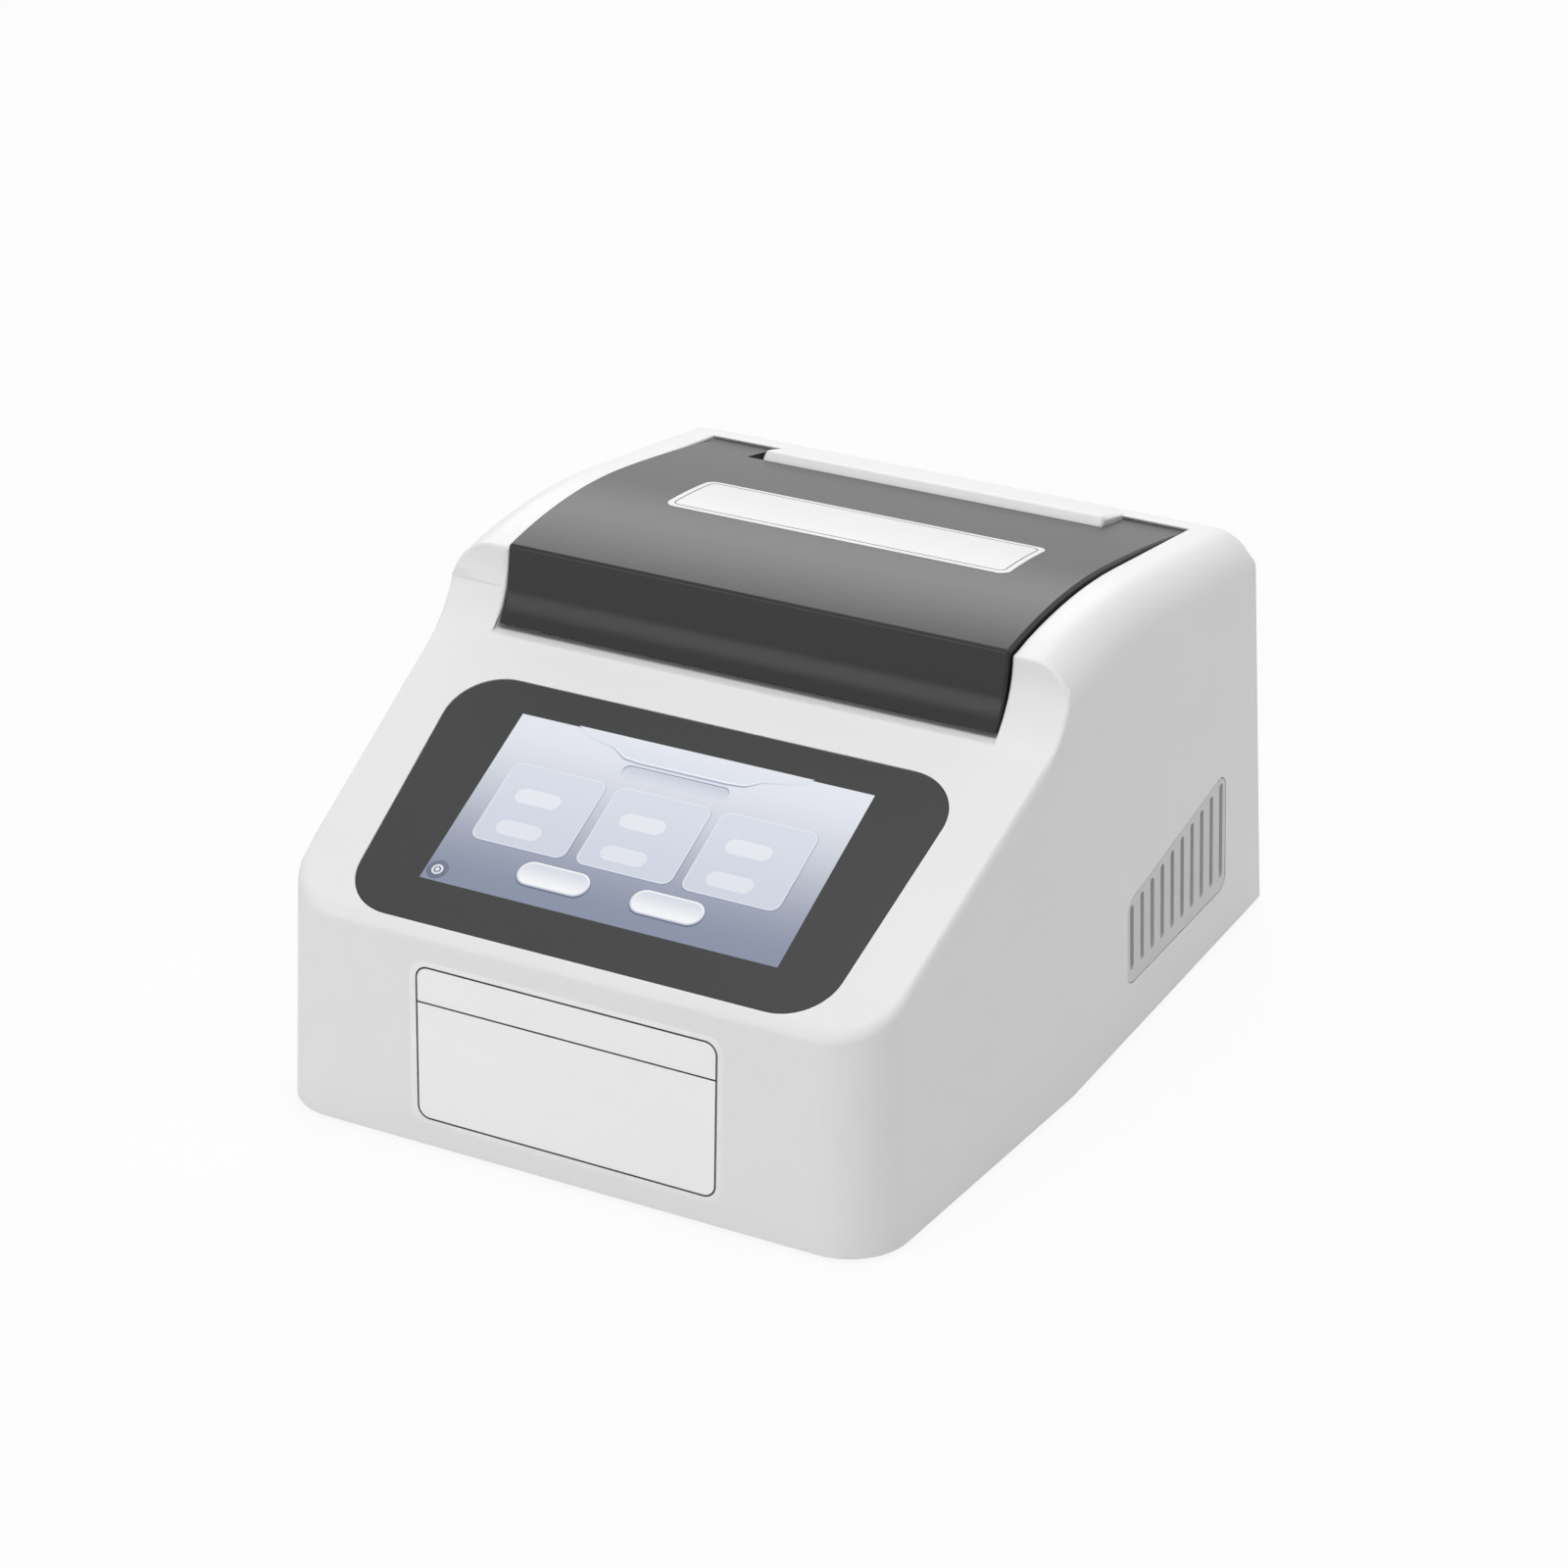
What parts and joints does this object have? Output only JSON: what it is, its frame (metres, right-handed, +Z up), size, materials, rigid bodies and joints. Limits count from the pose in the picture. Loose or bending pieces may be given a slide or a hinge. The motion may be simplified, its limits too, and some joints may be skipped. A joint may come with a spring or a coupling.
{
  "type": "microplate incubator shaker",
  "caption": "Bench incubator with a hinged heated lid over a shaken heated plate chamber, a touch panel on a sloped front and a vented white housing.",
  "frame": {"origin": "on the bench under the middle of the housing's bounding box", "axes": "+X to the instrument's right seen from the front, +Y from the front wall to the rear, +Z up"},
  "size_m": [0.286, 0.342, 0.1909],
  "materials": {
    "shell_white": "satin white moulded housing",
    "lid_grey": "dark grey moulded lid",
    "glass_grey": "dark grey printed panel front",
    "screen": "lit screen behind clear glass",
    "sheet_steel": "light grey powder coat",
    "zinc_steel": "plain plated steel",
    "ground_steel": "ground and polished",
    "plain_aluminium": "machined, bead blasted",
    "foot_rubber": "matt black",
    "seal_rubber": "matt dark silicone",
    "heater_silicone": "orange silicone mat",
    "foam": "cream insulating foam",
    "tub_white": "light grey moulded tub",
    "circuit_green": "green circuit board",
    "spacer_brass": "plain turned brass",
    "black_plastic": "black moulded plastic",
    "motor_black": "black enamel",
    "grille_grey": "light grey moulded louvre"
  },
  "bodies": {
    "base": {"upper_housing": "shell_white", "chassis_pan": "sheet_steel", "rubber_feet": "foot_rubber", "base_screws": "zinc_steel", "vent_grille_right": "grille_grey", "vent_grille_left": "grille_grey", "touch_bezel": "glass_grey", "display_panel": "screen", "display_bracket": "zinc_steel", "display_board": "circuit_green", "hinge_barrel_left": "zinc_steel", "hinge_barrel_right": "zinc_steel", "chamber_tub": "tub_white", "drive_plate": "plain_aluminium", "standoffs": "spacer_brass", "bearing_housing": "plain_aluminium", "main_bearings": "ground_steel", "drive_motor": "motor_black", "drive_belt": "seal_rubber", "idler_posts": "plain_aluminium", "power_supply": "zinc_steel", "main_board": "circuit_green", "board_spacers": "spacer_brass", "fan_frame": "black_plastic", "fan_guard": "zinc_steel", "inlet_socket": "black_plastic", "inlet_pins": "zinc_steel"},
    "lid": {"lid_cover": "lid_grey", "lid_liner": "lid_grey", "lid_gasket": "seal_rubber", "lid_heater_plate": "plain_aluminium", "lid_heater_mat": "heater_silicone", "lid_insulation": "foam", "hinge_shaft_left": "ground_steel", "hinge_shaft_right": "ground_steel"},
    "crank": {"crank_shaft": "ground_steel", "counterweight": "zinc_steel", "driven_pulley": "black_plastic"},
    "platform": {"platform_plate": "plain_aluminium", "platform_bearing": "ground_steel", "platform_insulation": "foam", "platform_heater": "heater_silicone", "heat_block": "plain_aluminium", "temperature_probe": "ground_steel"},
    "motor_rotor": {"motor_shaft": "ground_steel", "motor_pulley": "plain_aluminium"},
    "idler_front_left_crank": {"idler_front_left": "ground_steel"},
    "idler_front_right_crank": {"idler_front_right": "ground_steel"},
    "idler_rear_left_crank": {"idler_rear_left": "ground_steel"},
    "idler_rear_right_crank": {"idler_rear_right": "ground_steel"},
    "fan_wheel": {"fan_rotor": "black_plastic"},
    "rocker": {"power_rocker": "black_plastic"},
    "drawer": {"fuse_drawer": "black_plastic"}
  },
  "joints": [
    {"name": "lid_hinge", "type": "hinge", "parent": "base", "child": "lid", "pos_m": [0, 0.141, 0.167], "axis": [-1, 0, 0], "range_deg": [0, 80]},
    {"name": "crank_spin", "type": "hinge", "parent": "base", "child": "crank", "pos_m": [0, 0.0475, 0.062], "axis": [0, 0, 1], "continuous": true},
    {"name": "platform_turn", "type": "hinge", "parent": "crank", "child": "platform", "pos_m": [0.0015, 0.0475, 0.107], "axis": [0, 0, 1], "continuous": true},
    {"name": "motor_spin", "type": "hinge", "parent": "base", "child": "motor_rotor", "pos_m": [-0.062, 0.0475, 0.072], "axis": [0, 0, 1], "continuous": true},
    {"name": "idler_front_left_spin", "type": "hinge", "parent": "base", "child": "idler_front_left_crank", "pos_m": [-0.075, -0.0025, 0.092], "axis": [0, 0, 1], "continuous": true},
    {"name": "idler_front_right_spin", "type": "hinge", "parent": "base", "child": "idler_front_right_crank", "pos_m": [0.075, -0.0025, 0.092], "axis": [0, 0, 1], "continuous": true},
    {"name": "idler_rear_left_spin", "type": "hinge", "parent": "base", "child": "idler_rear_left_crank", "pos_m": [-0.075, 0.0975, 0.092], "axis": [0, 0, 1], "continuous": true},
    {"name": "idler_rear_right_spin", "type": "hinge", "parent": "base", "child": "idler_rear_right_crank", "pos_m": [0.075, 0.0975, 0.092], "axis": [0, 0, 1], "continuous": true},
    {"name": "fan_spin", "type": "hinge", "parent": "base", "child": "fan_wheel", "pos_m": [0.07, 0.15453, 0.066], "axis": [0, 1, 0], "continuous": true},
    {"name": "rocker_toggle", "type": "hinge", "parent": "base", "child": "rocker", "pos_m": [-0.072, 0.16203, 0.073], "axis": [-1, 0, 0], "range_deg": [0, 18]},
    {"name": "fuse_slide", "type": "slide", "parent": "base", "child": "drawer", "axis": [0, 1, 0], "range_m": [0, 0.016]}
  ],
  "couplings": [
    {"joint": "platform_turn", "follows": "crank_spin", "ratio": -1},
    {"joint": "motor_spin", "follows": "crank_spin", "ratio": 3},
    {"joint": "idler_front_left_spin", "follows": "crank_spin", "ratio": 1},
    {"joint": "idler_front_right_spin", "follows": "crank_spin", "ratio": 1},
    {"joint": "idler_rear_left_spin", "follows": "crank_spin", "ratio": 1},
    {"joint": "idler_rear_right_spin", "follows": "crank_spin", "ratio": 1}
  ]
}
